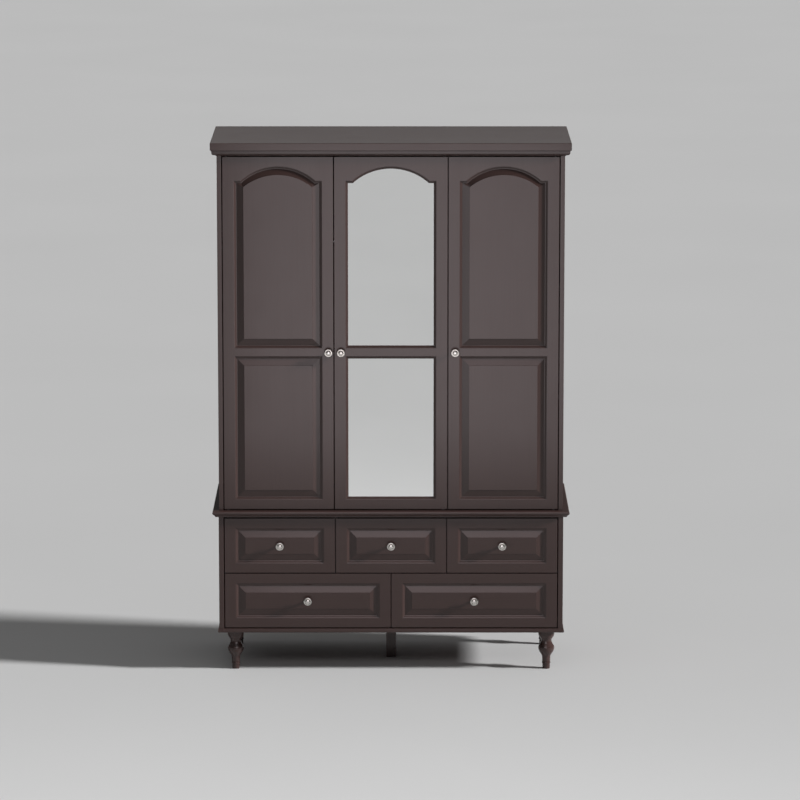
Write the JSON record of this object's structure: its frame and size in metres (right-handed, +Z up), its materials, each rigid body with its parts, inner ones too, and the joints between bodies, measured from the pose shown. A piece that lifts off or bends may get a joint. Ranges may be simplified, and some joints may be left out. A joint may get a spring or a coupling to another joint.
{
  "type": "armoire",
  "caption": "Free-standing armoire: arched panel doors beside a mirrored door over a chest of sliding drawers, with moulded crown, round knobs and turned feet.",
  "frame": {"origin": "on the floor, under the middle of the whole piece, knobs included", "axes": "+Z up, -Y out of the front with the doors and drawers, +X to the right of someone facing the front"},
  "size_m": [1.456, 0.594, 2.185],
  "materials": {
    "exterior_paint": "satin espresso paint",
    "interior_paint": "matte espresso laminate",
    "drawer_box_wood": "clear-finished birch plywood",
    "knob_nickel": "brushed nickel",
    "pivot_steel": "bright steel",
    "rail_steel": "polished chrome",
    "mirror_glass": "silvered float glass"
  },
  "bodies": {
    "carcass": {"crown_board": "exterior_paint", "crown_moulding": "exterior_paint", "top_panel": "interior_paint", "upper_side_left": "exterior_paint", "upper_side_right": "exterior_paint", "upper_partition": "interior_paint", "upper_back_panel": "interior_paint", "hat_shelf": "interior_paint", "side_shelf_lower": "interior_paint", "side_shelf_upper": "interior_paint", "hanging_rail": "rail_steel", "rail_socket_left": "rail_steel", "rail_socket_right": "rail_steel", "waist_board": "exterior_paint", "chest_side_left": "exterior_paint", "chest_side_right": "exterior_paint", "chest_back_panel": "interior_paint", "chest_dust_board": "interior_paint", "chest_divider_left": "interior_paint", "chest_divider_right": "interior_paint", "chest_divider_centre": "interior_paint", "base_board": "exterior_paint", "foot_front_left": "exterior_paint", "foot_front_right": "exterior_paint", "foot_rear_left": "exterior_paint", "foot_rear_right": "exterior_paint", "centre_leg": "exterior_paint"},
    "door_left": {"door_left_frame": "exterior_paint", "door_left_panel_upper": "exterior_paint", "door_left_panel_lower": "exterior_paint", "door_left_knob": "knob_nickel", "door_left_pivot_top": "pivot_steel", "door_left_pivot_bottom": "pivot_steel"},
    "door_centre": {"door_centre_frame": "exterior_paint", "mirror_pane": "mirror_glass", "mirror_backing": "interior_paint", "door_centre_knob": "knob_nickel", "door_centre_pivot_top": "pivot_steel", "door_centre_pivot_bottom": "pivot_steel"},
    "door_right": {"door_right_frame": "exterior_paint", "door_right_panel_upper": "exterior_paint", "door_right_panel_lower": "exterior_paint", "door_right_knob": "knob_nickel", "door_right_pivot_top": "pivot_steel", "door_right_pivot_bottom": "pivot_steel"},
    "drawer_upper_left": {"drawer_upper_left_front": "exterior_paint", "drawer_upper_left_box": "drawer_box_wood", "drawer_upper_left_knob": "knob_nickel"},
    "drawer_upper_centre": {"drawer_upper_centre_front": "exterior_paint", "drawer_upper_centre_box": "drawer_box_wood", "drawer_upper_centre_knob": "knob_nickel"},
    "drawer_upper_right": {"drawer_upper_right_front": "exterior_paint", "drawer_upper_right_box": "drawer_box_wood", "drawer_upper_right_knob": "knob_nickel"},
    "drawer_lower_left": {"drawer_lower_left_front": "exterior_paint", "drawer_lower_left_box": "drawer_box_wood", "drawer_lower_left_knob": "knob_nickel"},
    "drawer_lower_right": {"drawer_lower_right_front": "exterior_paint", "drawer_lower_right_box": "drawer_box_wood", "drawer_lower_right_knob": "knob_nickel"}
  },
  "joints": [
    {"name": "door_left_hinge", "type": "hinge", "parent": "carcass", "child": "door_left", "pos_m": [-0.6635, -0.261, 0.681], "axis": [0, 0, -1], "range_deg": [0, 110]},
    {"name": "door_centre_hinge", "type": "hinge", "parent": "carcass", "child": "door_centre", "pos_m": [0.213, -0.261, 0.681], "axis": [0, 0, 1], "range_deg": [0, 110]},
    {"name": "door_right_hinge", "type": "hinge", "parent": "carcass", "child": "door_right", "pos_m": [0.6635, -0.261, 0.681], "axis": [0, 0, 1], "range_deg": [0, 110]},
    {"name": "drawer_upper_left_slide", "type": "slide", "parent": "carcass", "child": "drawer_upper_left", "axis": [0, -1, 0], "range_m": [0, 0.36]},
    {"name": "drawer_upper_centre_slide", "type": "slide", "parent": "carcass", "child": "drawer_upper_centre", "axis": [0, -1, 0], "range_m": [0, 0.36]},
    {"name": "drawer_upper_right_slide", "type": "slide", "parent": "carcass", "child": "drawer_upper_right", "axis": [0, -1, 0], "range_m": [0, 0.36]},
    {"name": "drawer_lower_left_slide", "type": "slide", "parent": "carcass", "child": "drawer_lower_left", "axis": [0, -1, 0], "range_m": [0, 0.36]},
    {"name": "drawer_lower_right_slide", "type": "slide", "parent": "carcass", "child": "drawer_lower_right", "axis": [0, -1, 0], "range_m": [0, 0.36]}
  ]
}
